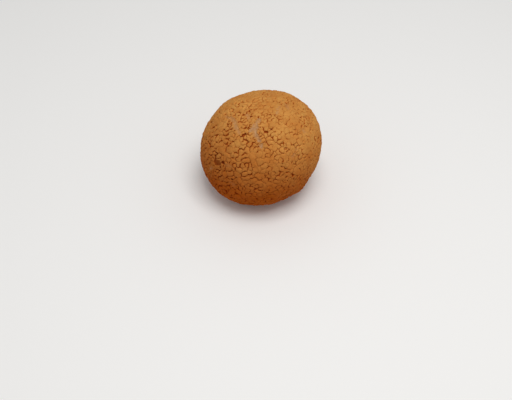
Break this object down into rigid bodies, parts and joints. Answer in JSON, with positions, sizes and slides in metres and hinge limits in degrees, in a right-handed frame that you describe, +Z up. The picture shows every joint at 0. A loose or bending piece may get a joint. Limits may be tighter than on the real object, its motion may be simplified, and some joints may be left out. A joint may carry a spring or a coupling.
{
  "type": "mochi bun",
  "caption": "Small round mochi bread bun with a dry, finely cracked golden crust and a flat spot underneath.",
  "frame": {"origin": "on the surface the bun rests on, under the middle of its bounding box", "axes": "+Z up, through the crown. -Y is the side that faces the picture's camera, and +X is to the right in the picture"},
  "size_m": [0.058, 0.0552, 0.0502],
  "materials": {
    "crust": "dry matte golden-tan baked crust, browner in the cracks and towards the base"
  },
  "bodies": {
    "root": {"bun": "crust"}
  },
  "joints": []
}
